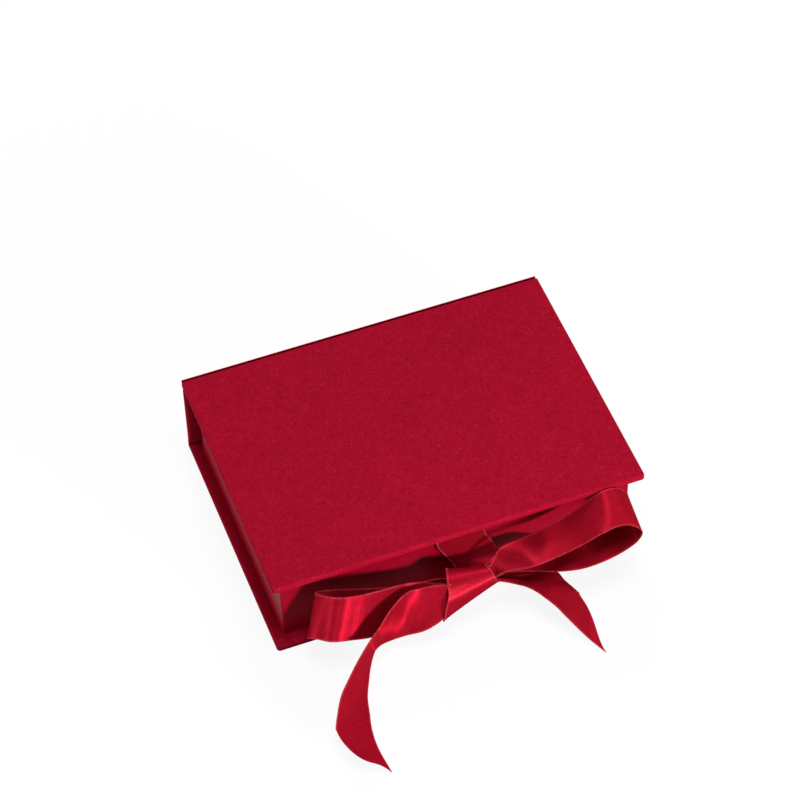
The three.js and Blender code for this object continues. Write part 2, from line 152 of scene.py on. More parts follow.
def makeBookCloth(look):
    material, tree, shader = newMaterial(
        "bookCloth", Roughness=0.85, Specular_IOR_Level=0.06, Specular_Tint=srgb(redSheen))
    place = addNode(tree, "ShaderNodeTexCoord").outputs["Object"]
    fine = 1 / (look["thread"] * mm)
    long = 1 / (look["slubLength"] * mm)
    yarn = []
    for stretch in ((long, fine, fine), (fine, long, fine)):  # along X, then along Y
        laid = addNode(tree, "ShaderNodeMapping", {0: place}, {"Scale": stretch})
        yarn.append(addNode(tree, "ShaderNodeTexNoise", {0: laid.outputs[0]},
                            {"Scale": 1.0, "Detail": 3.0, "Roughness": 0.6}).outputs[0])
    both = addNode(tree, "ShaderNodeMath", {0: yarn[0], 1: yarn[1]}, operation="ADD")
    weave = addNode(tree, "ShaderNodeMath", {0: both.outputs[0]}, {1: 0.5}, operation="MULTIPLY").outputs[0]
    dye = addDye(tree, weave, look["dye"])
    darkest, palest = look["tone"]
    tone = addNode(tree, "ShaderNodeMapRange", {0: addNoise(tree, place, look["cloud"], 2.0)},
                   {1: 0.3, 2: 0.7, 3: darkest, 4: palest})
    toned = addNode(tree, "ShaderNodeMix", {6: dye, 7: tone.outputs[0]}, {0: 1.0},
                    data_type="RGBA", blend_type="MULTIPLY")
    specks = addNoise(tree, place, look["thread"] / look["slubShare"], 1.0)
    slubs = addNode(tree, "ShaderNodeMapRange", {0: specks}, {1: 0.7, 2: 0.8, 3: 0.0, 4: 0.5})
    colour = addNode(tree, "ShaderNodeMix", {0: slubs.outputs[0], 6: toned.outputs[2]},
                     {7: srgb(look["slub"])}, data_type="RGBA")
    tree.links.new(colour.outputs[2], shader.inputs["Base Color"])
    axes = addNode(tree, "ShaderNodeSeparateXYZ", {0: place})
    crests = []
    for axis in range(3):  # one thread up, one thread down
        turn = addNode(tree, "ShaderNodeMath", {0: axes.outputs[axis]}, {1: math.pi * fine},
                       operation="MULTIPLY")
        crests.append(addNode(tree, "ShaderNodeMath", {0: turn.outputs[0]}, operation="SINE").outputs[0])
    height = addNode(tree, "ShaderNodeMath", {0: weave}, {1: look["nap"]}, operation="MULTIPLY").outputs[0]
    for first, second in ((0, 1), (1, 2), (2, 0)):
        height = addNode(tree, "ShaderNodeMath", {0: crests[first], 1: crests[second], 2: height},
                         operation="MULTIPLY_ADD").outputs[0]
    addRelief(tree, shader, height, *look["relief"])
    return material


# covering and lining papers: dyed pulp, calendered smooth outside and left open inside; fine fibres, faint
# mottling, and on the tray's outside a low eggshell gloss
paperLooks = {
    "coveringPaper": {
        "dye": [(0.3, "#88031C"), (0.7, "#940421")],
        "roughness": 0.4,
        "gloss": 0.04,
        "pulp": 3.5,
        "fibre": 0.35,
        "relief": (0.15, 0.03),
    },
    "liningPaper": {
        "dye": [(0.3, "#8A0E22"), (0.7, "#9C1429")],
        "roughness": 0.7,
        "gloss": 0.12,
        "pulp": 3.5,
        "fibre": 0.5,
        "relief": (0.15, 0.03),
    },
}


def makePaper(name, look):
    material, tree, shader = newMaterial(
        name, Roughness=look["roughness"], Specular_IOR_Level=look["gloss"], Specular_Tint=srgb(redSheen))
    place = addNode(tree, "ShaderNodeTexCoord").outputs["Object"]
    dye = addDye(tree, addNoise(tree, place, look["pulp"], 6.0), look["dye"])
    tree.links.new(dye, shader.inputs["Base Color"])
    addRelief(tree, shader, addNoise(tree, place, look["fibre"], 4.0), *look["relief"])
    return material


# greyboard: pressed recycled pulp, dull grey-brown with dark and pale flecks
boardLook = {
    "dye": [(0.35, "#7C776D"), (0.55, "#928D82"), (0.72, "#A9A498")],
    "fleck": 0.7,
    "relief": (0.3, 0.08),
}


def makeGreyBoard(look):
    material, tree, shader = newMaterial("greyBoard", Roughness=0.92, Specular_IOR_Level=0.2)
    place = addNode(tree, "ShaderNodeTexCoord").outputs["Object"]
    flecks = addNoise(tree, place, look["fleck"], 5.0)
    tree.links.new(addDye(tree, flecks, look["dye"]), shader.inputs["Base Color"])
    addRelief(tree, shader, flecks, *look["relief"])
    return material


# satin ribbon: polyester, warp floats lying lengthways, so a glossy face with a highlight drawn out across
# the ribbon, fine lengthways streaks and a faint rib of weft below them
satinLook = {
    "dye": [(0.38, "#880A1A"), (0.5, "#940D20"), (0.62, "#A01128")],
    "streak": (14.0, 0.3),  # along and across, wider than the real 0.1 so that it shows
    "weft": (0.42, 5.0),  # along and across
    "relief": (0.5, 0.15),
}


def makeSatin(look):
    material, tree, shader = newMaterial(
        "satinRibbon", Metallic=0.38, Roughness=0.44, Specular_IOR_Level=0.0, Specular_Tint=srgb("#FF7070"),
        Anisotropic=0.95, Anisotropic_Rotation=0.25, Coat_Weight=0.02, Coat_Roughness=0.3)
    run = addNode(tree, "ShaderNodeUVMap", uv_map="ribbon").outputs[0]
    yarn = []
    for (along, across), detail in ((look["streak"], 3.0), (look["weft"], 2.0)):
        laid = addNode(tree, "ShaderNodeMapping", {0: run},
                       {"Scale": (1 / (along * mm), 1 / (across * mm), 1)})
        yarn.append(addNode(tree, "ShaderNodeTexNoise", {0: laid.outputs[0]},
                            {"Scale": 1.0, "Detail": detail}).outputs[0])
    both = addNode(tree, "ShaderNodeMath", {0: yarn[0], 1: yarn[1]}, operation="ADD")
    weave = addNode(tree, "ShaderNodeMath", {0: both.outputs[0]}, {1: 0.5}, operation="MULTIPLY").outputs[0]
    tree.links.new(addDye(tree, weave, look["dye"]), shader.inputs["Base Color"])
    addRelief(tree, shader, weave, *look["relief"])
    lengthways = addNode(tree, "ShaderNodeTangent", direction_type="UV_MAP", uv_map="ribbon")
    tree.links.new(lengthways.outputs[0], shader.inputs["Tangent"])
    return material


# selvedge thread: the same dye on a rounder edge yarn, painted paler than the satin all along as a painted
# highlight for the light that yarn catches, varied at random along it
threadPaintedHighlightLook = {"dye": [(0.35, "#A82638"), (0.65, "#CC4A56")], "uneven": 1.5}


def makeThread(look):
    material, tree, shader = newMaterial("selvedgeThread", Roughness=0.6, Specular_IOR_Level=0.15)
    place = addNode(tree, "ShaderNodeTexCoord").outputs["Object"]
    # painted highlight: the thread's paler colour stands in for the light its rounded yarn catches
    dye = addDye(tree, addNoise(tree, place, look["uneven"], 2.0), look["dye"])
    tree.links.new(dye, shader.inputs["Base Color"])
    return material


bookCloth = makeBookCloth(clothLook)
coveringPaper = makePaper("coveringPaper", paperLooks["coveringPaper"])
liningPaper = makePaper("liningPaper", paperLooks["liningPaper"])
greyBoard = makeGreyBoard(boardLook)
satinRibbon = makeSatin(satinLook)
selvedgeThread = makeThread(threadPaintedHighlightLook)
slotLooks = {
    "book_cloth": bookCloth,
    "covering_paper": coveringPaper,
    "lining_paper": liningPaper,
    "grey_board": greyBoard,
    "satin_ribbon": satinRibbon,
}
for part in frame["record"]["subparts"]:
    node = frame["nodes"][part["node"]]
    node.data.materials.clear()
    node.data.materials.append(slotLooks[part["material_slot"]])
print("materials made")


# camera at the photograph's viewing angle, on an 800 by 800 picture
cameraView = {
    "place": (-300.3, -852.3, 1136.2),  # mm
    "right": (0.93597, -0.35147, -0.02092),
    "up": (0.28158, 0.71154, 0.64376),
    "focal": 3246.5,  # pixels
    "picture": 800,  # pixels
    "sensor": 36.0,  # mm
    "farthest": 10.0,  # m, nothing beyond it is drawn
}


def makeCamera(view):
    data = bpy.data.cameras.new("camera")
    data.sensor_width = view["sensor"]
    data.lens = view["focal"] / view["picture"] * view["sensor"]
    data.clip_end = view["farthest"]
    camera = addObject("camera", data)
    right = Vector(view["right"]).normalized()
    up = Vector(view["up"]).normalized()
    turn = Matrix((right, up, right.cross(up))).transposed().to_4x4()
    camera.matrix_world = Matrix.Translation(Vector(view["place"]) * mm) @ turn
    scene.camera = camera


makeCamera(cameraView)
print("camera placed")


# cloth and paper over boards, sizes in mm

def roundedRing(low, high, front, back, inset, height, steps):
    corners = (
        (high[0] - front, low[1] + front, front, -90),
        (high[0] - back, high[1] - back, back, 0),
        (low[0] + back, high[1] - back, back, 90),
        (low[0] + front, low[1] + front, front, 180),
    )
    ring = []
    for x, y, radius, start in corners:
        for i in range(steps + 1):
            angle = math.radians(start + 90 * i / steps)
            reach = radius - inset
            ring.append((x + reach * math.cos(angle), y + reach * math.sin(angle), height))
    return ring


def roundedSlab(name, low, high, front, back, rimBelow, rimAbove, steps=6):
    rings = []
    for i in range(steps + 1):  # lower rim, rolled up from the underside
        angle = math.radians(90 * i / steps)
        rings.append((rimBelow * (1 - math.sin(angle)), low[2] + rimBelow * (1 - math.cos(angle))))
    for i in range(steps + 1):
        angle = math.radians(90 * i / steps)
        rings.append((rimAbove * (1 - math.cos(angle)), high[2] - rimAbove * (1 - math.sin(angle))))
    points = []
    for inset, height in rings:
        points += roundedRing(low, high, front, back, inset, height, steps)
    count = 4 * (steps + 1)
    faces = [list(range(count))[::-1], [len(points) - count + i for i in range(count)]]
    for r in range(len(rings) - 1):
        for i in range(count):
            j = (i + 1) % count
            faces.append([r * count + i, r * count + j, (r + 1) * count + j, (r + 1) * count + i])
    return addObject(name, meshFrom(name, points, faces))


def boxObject(low, high, turn=None):
    corners = [Vector((x, y, z)) for z in (low[2], high[2])
               for y in (low[1], high[1]) for x in (low[0], high[0])]
    middle = (Vector(low) + Vector(high)) / 2
    if turn is not None:
        corners = [middle + Matrix.Rotation(turn, 3, "Z") @ (c - middle) for c in corners]
    faces = [[0, 2, 3, 1], [4, 5, 7, 6], [0, 1, 5, 4], [2, 6, 7, 3], [0, 4, 6, 2], [1, 3, 7, 5]]
    return addObject("cutter", meshFrom("cutter", corners, faces))


def cutOut(piece, cutters):
    for cutter in cutters:
        modifier = piece.modifiers.new("cut", "BOOLEAN")
        modifier.operation = "DIFFERENCE"
        modifier.solver = "EXACT"
        modifier.object = cutter
        graph = bpy.context.evaluated_depsgraph_get()
        result = bpy.data.meshes.new_from_object(piece.evaluated_get(graph))
        piece.modifiers.remove(modifier)
        piece.data = result
        bpy.data.objects.remove(cutter)
    return piece


def outwards(mesh):
    mesh.calc_loop_triangles()
    points = np.zeros(len(mesh.vertices) * 3)
    mesh.vertices.foreach_get("co", points)
    points = points.reshape(-1, 3)
    corners = np.zeros(len(mesh.loop_triangles) * 3, int)
    mesh.loop_triangles.foreach_get("vertices", corners)
    a, b, c = (points[corners.reshape(-1, 3)[:, k]] for k in range(3))
    if (a * np.cross(b, c)).sum() < 0:
        mesh.flip_normals()
    return mesh


def standFor(piece, node, body):
    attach(piece, body)
    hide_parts(node)


# cloth cover of a board: rolled over the edges, turned in all round, mitred at the corners
coverCloth = {
    "cloth": 0.4,
    "turnIn": 15.0,
    "frontCorner": 1.6,
    "backCorner": 1.0,
    "roll": (0.6, 0.95),  # radius over the board's lower and upper edges
    "mitre": 0.12,  # width of the fold line at a turned-in corner
    "mitreDepth": 0.2,
    "mitreReach": 0.66,  # half the fold's length, as a share of the turned-in border
    "through": 1.5,  # cloth thicknesses that the window is cut each way
}


def coverBoard(name, node, body, inner, look):
    low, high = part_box(node)
    skin = look["cloth"] * mm
    turn = look["turnIn"] * mm
    piece = roundedSlab(name, low, high, look["frontCorner"] * mm, look["backCorner"] * mm,
                        *[radius * mm for radius in look["roll"]])
    pocketLow = [v + skin for v in low]
    pocketHigh = [v - skin for v in high]
    innerFace = low.z if inner == "below" else high.z
    through = look["through"] * skin
    window = boxObject((low.x + turn, low.y + turn, innerFace - through),
                       (high.x - turn, high.y - turn, innerFace + through))
    cutters = [boxObject(pocketLow, pocketHigh), window]
    depth = look["mitreDepth"] * mm
    for sideX, angle in ((1, 45), (-1, -45)):
        for sideY in (1, -1):
            x = sideX * (high.x - turn / 2)
            y = (high.y - turn / 2) if sideY > 0 else (low.y + turn / 2)
            half = Vector((turn * look["mitreReach"], look["mitre"] * mm / 2, depth))
            middle = Vector((x, y, innerFace))
            cutters.append(boxObject(middle - half, middle + half, math.radians(angle * sideY)))
    cutOut(piece, cutters)
    finishMesh(piece.data, bookCloth)
    standFor(piece, node, body)
    return piece


lidCloth = coverBoard("lid_cloth", "lid_cover_cloth", "lid", "below", coverCloth)
baseCloth = coverBoard("base_cloth", "base_cover_cloth", "base", "above", coverCloth)
print("lid and base covered")


# spine cloth: over the outside and round both ends
spineCloth = {
    "cloth": 0.4,
    "corner": 1.3,
    "turnIn": 15.0,
    "rim": 0.1,  # radius at the long edges
    "through": 1.5,  # cloth thicknesses that the window is cut
}


def coverSpine(look):
    low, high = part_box("spine_cover_cloth")
    skin = look["cloth"] * mm
    turn = look["turnIn"] * mm
    corner = look["corner"] * mm
    rim = look["rim"] * mm
    piece = roundedSlab("spine_cloth", low, high, corner, corner, rim, rim)
    pocket = boxObject((low.x + skin, low.y + skin, low.z - skin),
                       (high.x - skin, high.y - skin, high.z + skin))
    window = boxObject((low.x + turn, low.y - skin, low.z - skin),
                       (high.x - turn, low.y + look["through"] * skin, high.z + skin))
    cutOut(piece, [pocket, window])
    finishMesh(piece.data, bookCloth)
    standFor(piece, "spine_cover_cloth", "spine")


coverSpine(spineCloth)


# hinge cloths: rolled strips over the back edges of base and lid
hingeCloth = {
    "cloth": 0.4,
    "rise": 80,  # degrees that the strip runs on past the axis
    "steps": 28,
    "round": 0.12,  # length of the softened ends
    "endShare": 0.6,  # thickness left at the very ends
}


def rollHinge(name, node, body, upended, look):
    low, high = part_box(node)
    joint = next(j for j in frame["joints"] if j["child"] == ("lid" if upended else "spine"))
    axisY, axisZ = joint["pos_m"][1:]
    outer = high.y - axisY
    half = look["cloth"] * mm / 2
    middle = outer - half
    reach = high.z - axisZ if upended else axisZ - low.z
    start = -math.asin(min(reach / outer, 1.0))
    end = math.radians(look["rise"])
    steps = look["steps"]
    section = [(start + (end - start) * i / steps, middle + half) for i in range(steps + 1)]
    section += [(end + (start - end) * i / steps, middle - half) for i in range(steps + 1)]
    ends = (low.x, low.x + look["round"] * mm, high.x - look["round"] * mm, high.x)
    points = []
    faces = []
    for k, x in enumerate(ends):
        shrink = look["endShare"] if k in (0, 3) else 1.0
        for angle, radius in section:
            r = middle + (radius - middle) * shrink
            z = r * math.sin(angle)
            points.append((x, axisY + r * math.cos(angle), axisZ + (-z if upended else z)))
    count = len(section)
    for k in range(3):
        for i in range(count):
            j = (i + 1) % count
            faces.append([k * count + i, k * count + j, (k + 1) * count + j, (k + 1) * count + i])
    for k in (0, 3):  # strip caps
        for i in range(steps):
            a, b = k * count + i, k * count + i + 1
            c, d = k * count + count - 2 - i, k * count + count - 1 - i
            faces.append([a, b, c, d] if k == 3 else [d, c, b, a])
    if upended:
        faces = [f[::-1] for f in faces]
    piece = addObject(name, outwards(meshFrom(name, points, faces)))
    finishMesh(piece.data, bookCloth)
    standFor(piece, node, body)
    return piece


lowerHinge = rollHinge("lower_hinge", "lower_hinge_cloth", "base", False, hingeCloth)
upperHinge = rollHinge("upper_hinge", "upper_hinge_cloth", "lid", True, hingeCloth)
print("spine and hinges covered")


# tray paper: round the outside, rolled over the rim and turned down inside
trayPaper = {
    "paper": 0.3,
    "corner": 1.0,
    "foot": 0.02,  # radius at the lower edge
    "rim": 0.25,  # radius over the rim
    "turnDown": 12.0,
    "slack": 0.3,  # beside the ribbon where it comes out
    "notch": 0.45,  # height of the ribbon's way out
}


def wrapTray(look):
    low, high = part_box("tray_wrap")
    floorLow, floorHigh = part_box("tray_floor_board")
    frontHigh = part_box("tray_front_wall")[1]
    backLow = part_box("tray_back_wall")[0]
    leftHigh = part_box("tray_left_wall")[1]
    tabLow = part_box("lower_ribbon")[0]
    paper = look["paper"] * mm
    corner = look["corner"] * mm
    piece = roundedSlab("tray_paper", low, high, corner, corner, look["foot"] * mm, look["rim"] * mm)
    well = (-leftHigh.x - glue, frontHigh.y + glue, backLow.y - glue)  # end, front, back of the inside
    skirtFoot = high.z - look["turnDown"] * mm
    wallTop = frontHigh.z + glue
    cutters = [
        boxObject((floorLow.x - glue, floorLow.y - glue, low.z - paper),
                  (floorHigh.x + glue, floorHigh.y + glue, skirtFoot)),
        boxObject((-well[0] + paper, well[1] + paper, skirtFoot - paper),
                  (well[0] - paper, well[2] - paper, high.z + paper)),
    ]
    walls = (
        ((floorLow.x - glue, floorLow.y - glue), (floorHigh.x + glue, well[1])),
        ((floorLow.x - glue, well[2]), (floorHigh.x + glue, floorHigh.y + glue)),
        ((floorLow.x - glue, well[1] - paper), (-well[0], well[2] + paper)),
        ((well[0], well[1] - paper), (floorHigh.x + glue, well[2] + paper)),
    )
    for wallLow, wallHigh in walls:
        cutters.append(boxObject((*wallLow, skirtFoot - paper), (*wallHigh, wallTop)))
    halfTab = -tabLow.x + look["slack"] * mm
    cutters.append(boxObject((-halfTab, low.y - paper, low.z - paper),
                             (halfTab, low.y + 2 * paper, low.z + look["notch"] * mm)))
    cutOut(piece, cutters)
    finishMesh(piece.data, coveringPaper)
    standFor(piece, "tray_wrap", "base")


wrapTray(trayPaper)


# lid lining: paper-covered card with soft edges
lidLining = {
    "corner": 0.8,
    "edge": 0.2,  # radius of the edge that shows
    "gluedEdge": 0.05,
    "halfTab": 11.3,  # half the slot for the ribbon's glued end
    "tab": 30.3,
    "slot": 0.5,
    "past": 1.0,  # how far past the card the slot is cut
}


def lineLid(look):
    low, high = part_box("lid_lining")
    corner = look["corner"] * mm
    halfTab = look["halfTab"] * mm
    past = look["past"] * mm
    piece = roundedSlab("lid_lining_card", low, high, corner, corner, look["edge"] * mm, look["gluedEdge"] * mm)
    cutOut(piece, [boxObject((-halfTab, low.y - past, lidUnder - look["slot"] * mm),
                             (halfTab, low.y + look["tab"] * mm, lidUnder + past))])
    finishMesh(piece.data, liningPaper)
    standFor(piece, "lid_lining", "lid")


lineLid(lidLining)
print("tray wrapped and lid lined")


# ribbon, sizes in mm

ribbon = {
    "width": 22.0,
    "half": 0.15,  # half thickness of the satin
    "bead": 0.04,  # how much fuller the woven edge is
    "beadWidth": 0.7,
    "columns": 28,
    "glued": 30.0,  # end of each lead that lies under the lining or the tray
    "leastShare": 0.12,  # narrowest gather that the pleats reckon with
    "flatShare": 1.25,  # fullness up to which a gather has no pleats
    "cutRoundWidth": 0.12,  # share of the width over which a cut corner is rounded
    "stitchInset": 0.3,  # share of a stitch's length from the edge to its middle
    "sharpAngle": 70,  # degrees
}


# places in mm: ahead of the case's front, under its overhang, and up towards the lid's underside
def ahead(distance):
    return caseFront / mm - distance


def under(share):
    return (caseFront + share * overhang) / mm


def level(share):
    return share * lidUnder / mm


def smoothCurve(points, run):
    points = np.asarray(points, float)
    count = len(points) - 1
    padded = np.vstack([2 * points[0] - points[1], points, 2 * points[-1] - points[-2]])
    place = np.clip(np.asarray(run, float), 0, 1) * count
    first = np.minimum(place.astype(int), count - 1)
    w = (place - first)[..., None]
    p0, p1, p2, p3 = (padded[first + k] for k in range(4))
    d0, d1, d2 = (np.sqrt(np.maximum(np.linalg.norm(b - a, axis=-1, keepdims=True), 1e-6))
                  for a, b in ((p0, p1), (p1, p2), (p2, p3)))
    leave = ((p1 - p0) / d0 - (p2 - p0) / (d0 + d1) + (p2 - p1) / d1) * d1
    arrive = ((p2 - p1) / d1 - (p3 - p1) / (d1 + d2) + (p3 - p2) / d2) * d1
    return (p1 + w * leave + w ** 2 * (3 * p2 - 3 * p1 - 2 * leave - arrive)
            + w ** 3 * (2 * p1 - 2 * p2 + leave + arrive))


def gridNormals(grid):
    along = np.gradient(grid, axis=0)
    across = np.gradient(grid, axis=1)
    normals = np.cross(along, across)
    return normals / np.maximum(np.linalg.norm(normals, axis=-1, keepdims=True), 1e-12)


def ribbonGrid(run):
    near = []
    far = []
    for edge, across, gather in run["stations"]:
        direction = np.array(across, float)
        near.append(np.array(edge, float))
        far.append(near[-1] + direction / np.linalg.norm(direction) * ribbon["width"] * gather)
    u = np.linspace(0, 1, run["steps"] + 1)[:, None]
    v = np.linspace(0, 1, ribbon["columns"] + 1)[None, :]
    cutBack = run.get("cutBack", (0, 0))
    bow = run.get("cutBow", 0)
    corner = v if cutBack[0] > cutBack[1] else 1 - v  # from the cut's blunt corner to its tip
    cut = cutBack[0] + (cutBack[1] - cutBack[0]) * v - bow * corner * (1 - corner) ** 2
    cut = cut + run.get("cutRound", 0) * np.exp(-(corner / ribbon["cutRoundWidth"]) ** 2)
    along = u * (1 - u * cut)
    nearPoints = smoothCurve(near, along)
    farPoints = smoothCurve(far, along)
    grid = nearPoints + (farPoints - nearPoints) * v[..., None]
    normals = gridNormals(grid)
    span = np.linalg.norm(farPoints - nearPoints, axis=-1)
    share = np.clip(span / ribbon["width"], ribbon["leastShare"], 1)
    waves = run.get("waves", 2)
    fullness = np.sqrt(np.maximum(1 / share - ribbon["flatShare"], 0))
    pleat = run.get("pleats", 0.0) * span / (math.pi * waves) * fullness
    height = pleat * np.sin(2 * math.pi * (waves * v + run.get("phase", 0)))
    for stops, width in run.get("ridges", []):  # along, across, height in mm
        place, rise = (np.interp(along, [s[0] for s in stops], [s[k] for s in stops]) for k in (1, 2))
        height = height + rise * np.exp(-((v - place) / width) ** 2)
    return grid + normals * height[..., None]


def ribbonMesh(name, grid):
    rows, columns = grid.shape[:2]
    normals = gridNormals(grid)
    middle = grid[:, columns // 2]
    length = np.concatenate([[0], np.cumsum(np.linalg.norm(np.diff(middle, axis=0), axis=1))])
    across = np.linspace(0, ribbon["width"], columns)
    toEdge = np.minimum(across, across[::-1])
    half = ribbon["half"] + ribbon["bead"] * np.exp(-(toEdge / ribbon["beadWidth"]) ** 2)
    layers = [grid + normals * half[None, :, None], grid - normals * half[None, :, None]]
    points = np.concatenate([layer.reshape(-1, 3) for layer in layers]) * mm
    count = rows * columns
    faces = []
    for i in range(rows - 1):
        for j in range(columns - 1):
            a = i * columns + j
            quad = [a, a + columns, a + columns + 1, a + 1]
            faces.append(quad)
            faces.append([count + k for k in quad[::-1]])
        a, b = i * columns, i * columns + columns - 1
        faces.append([a, a + count, a + count + columns, a + columns])
        faces.append([b, b + columns, b + count + columns, b + count])
    last = (rows - 1) * columns
    for j in range(columns - 1):
        faces.append([j, j + 1, j + 1 + count, j + count])
        faces.append([last + j, last + j + count, last + j + 1 + count, last + j + 1])
    mesh = meshFrom(name, points, faces)
    uvs = np.stack(np.broadcast_arrays(length[:, None], across[None, :]), axis=-1).reshape(-1, 2) * mm
    uvs = np.concatenate([uvs, uvs])
    layer = mesh.uv_layers.new(name="ribbon")
    order = np.zeros(len(mesh.loops), int)
    mesh.loops.foreach_get("vertex_index", order)
    layer.data.foreach_set("uv", uvs[order].ravel().astype(np.float32))
    return outwards(mesh)


# selvedge: edge yarn looped round the weft, one small stitch after another across both edges
selvedge = {"Spacing": 1.0, "Length": 1.15, "Thickness": 0.62, "Width": 0.46}


def makeSelvedgeTree():
    tree = bpy.data.node_groups.new("selvedgeStitches", "GeometryNodeTree")
    tree.interface.new_socket("Geometry", in_out="INPUT", socket_type="NodeSocketGeometry")
    for name in selvedge:
        tree.interface.new_socket(name, in_out="INPUT", socket_type="NodeSocketFloat")
    tree.interface.new_socket("Thread", in_out="INPUT", socket_type="NodeSocketMaterial")
    tree.interface.new_socket("Geometry", in_out="OUTPUT", socket_type="NodeSocketGeometry")
    given = addNode(tree, "NodeGroupInput").outputs
    edge = addNode(tree, "GeometryNodeMeshToCurve", {"Mesh": given["Geometry"]})
    marks = addNode(tree, "GeometryNodeCurveToPoints", {"Curve": edge.outputs[0], "Length": given["Spacing"]},
                    mode="LENGTH")
    size = addNode(tree, "ShaderNodeCombineXYZ",
                   {0: given["Width"], 1: given["Thickness"], 2: given["Length"]})
    bead = addNode(tree, "GeometryNodeMeshIcoSphere", values={"Radius": 0.5, "Subdivisions": 2})
    across, normal = (addNode(tree, "GeometryNodeInputNamedAttribute", values={"Name": name},
                              data_type="FLOAT_VECTOR") for name in ("across", "face"))
    laid = addNode(tree, "FunctionNodeAlignRotationToVector", {"Vector": across.outputs[0]}, axis="Z")
    flat = addNode(tree, "FunctionNodeAlignRotationToVector",
                   {"Rotation": laid.outputs[0], "Vector": normal.outputs[0]}, axis="Y", pivot_axis="Z")
    stitches = addNode(tree, "GeometryNodeInstanceOnPoints",
                       {"Points": marks.outputs["Points"], "Instance": bead.outputs[0],
                        "Rotation": flat.outputs[0], "Scale": size.outputs[0]})
    real = addNode(tree, "GeometryNodeRealizeInstances", {0: stitches.outputs[0]})
    dyed = addNode(tree, "GeometryNodeSetMaterial", {"Geometry": real.outputs[0], "Material": given["Thread"]})
    result = addNode(tree, "NodeGroupOutput")
    tree.links.new(dyed.outputs[0], result.inputs[0])
    return tree


selvedgeTree = makeSelvedgeTree()


def stitchSelvedge(name, grid, body):
    normals = gridNormals(grid)
    points = []
    pairs = []
    facings = {"across": [], "face": []}
    for edge, inner in ((0, 1), (-1, -2)):
        inward = grid[:, inner] - grid[:, edge]
        inward = inward / np.linalg.norm(inward, axis=-1, keepdims=True)
        start = len(points)
        inset = selvedge["Length"] * ribbon["stitchInset"]
        points += [tuple(p * mm) for p in grid[:, edge] + inward * inset]
        pairs += [(start + i, start + i + 1) for i in range(len(grid) - 1)]
        facings["across"].append(inward)
        facings["face"].append(normals[:, edge])
    mesh = bpy.data.meshes.new(name)
    mesh.from_pydata(points, pairs, [])
    for attribute, rows in facings.items():
        mesh.attributes.new(attribute, "FLOAT_VECTOR", "POINT").data.foreach_set(
            "vector", np.concatenate(rows).ravel().astype(np.float32))
    lines = addObject(name + "_line", mesh)
    modifier = lines.modifiers.new("stitches", "NODES")
    modifier.node_group = selvedgeTree
    for item in selvedgeTree.interface.items_tree:
        if item.in_out == "INPUT" and item.name in selvedge:
            modifier[item.identifier] = selvedge[item.name] * mm
        elif item.in_out == "INPUT" and item.name == "Thread":
            modifier[item.identifier] = selvedgeThread
    graph = bpy.context.evaluated_depsgraph_get()
    stitches = bpy.data.meshes.new_from_object(lines.evaluated_get(graph))
    bpy.data.objects.remove(lines)
    stitches.shade_smooth()
    piece = addObject(name, stitches)
    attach(piece, body)
    return piece


def layRibbon(node, body, grid):
    name = node + "_satin"
    mesh = ribbonMesh(name, grid)
    finishMesh(mesh, satinRibbon, ribbon["sharpAngle"])
    piece = addObject(name, mesh)
    standFor(piece, node, body)
    stitches = stitchSelvedge(node + "_selvedge", grid, body)


# each station below is a place on the near edge, the direction across from it and the share of the full width

# right loop: lies open towards the front, out along its top and back underneath
rightLoop = {
    "steps": 190,
    "stations": [
        ((3, ahead(9.5), level(0.58)), (0, -3.5, -5.5), 0.24),
        ((10.3, ahead(8), level(0.65)), (0, -4, -5.5), 0.31),
        ((15.1, ahead(5.5), level(0.775)), (0, -9, -5), 0.47),
        ((25, ahead(4.5), level(0.796)), (-1.5, -16.5, 1), 0.75),
        ((36.3, ahead(1.4), level(0.741)), (-3, -20, 5), 0.95),
        ((47.4, ahead(0.4), level(0.8)), (-1, -21, 6), 1),
        ((56.2, ahead(0.5), level(0.925)), (-0.5, -21.5, 5), 1),
        ((64.4, ahead(0.6), level(1.05)), (-2, -20.3, 0.1), 0.93),
        ((71, ahead(0.6), level(1.03)), (-2, -20.4, -0.9), 0.93),
        ((76.6, ahead(0.4), level(0.86)), (-2.5, -22, 1), 1),
        ((75.2, ahead(0.1), level(0.7)), (-2.5, -22, 1.5), 1),
        ((68.7, ahead(0.1), level(0.59)), (-2.5, -22, 1.5), 1),
        ((57.9, ahead(0.2), level(0.54)), (-1.5, -22, 1), 1),
        ((47.4, ahead(0.4), level(0.53)), (-1, -22, 1.5), 1),
        ((38.8, ahead(0.3), level(0.51)), (-1.5, -20, 2), 0.9),
        ((26.7, ahead(1.5), level(0.66)), (-0.5, -12.2, -6.6), 0.63),
        ((10.3, ahead(5.5), level(0.63)), (0, -3.9, -4.8), 0.28),
        ((4, ahead(8), level(0.56)), (0, -4, -3), 0.2),
    ],
}
layRibbon("bow_right_loop", "base", ribbonGrid(rightLoop))

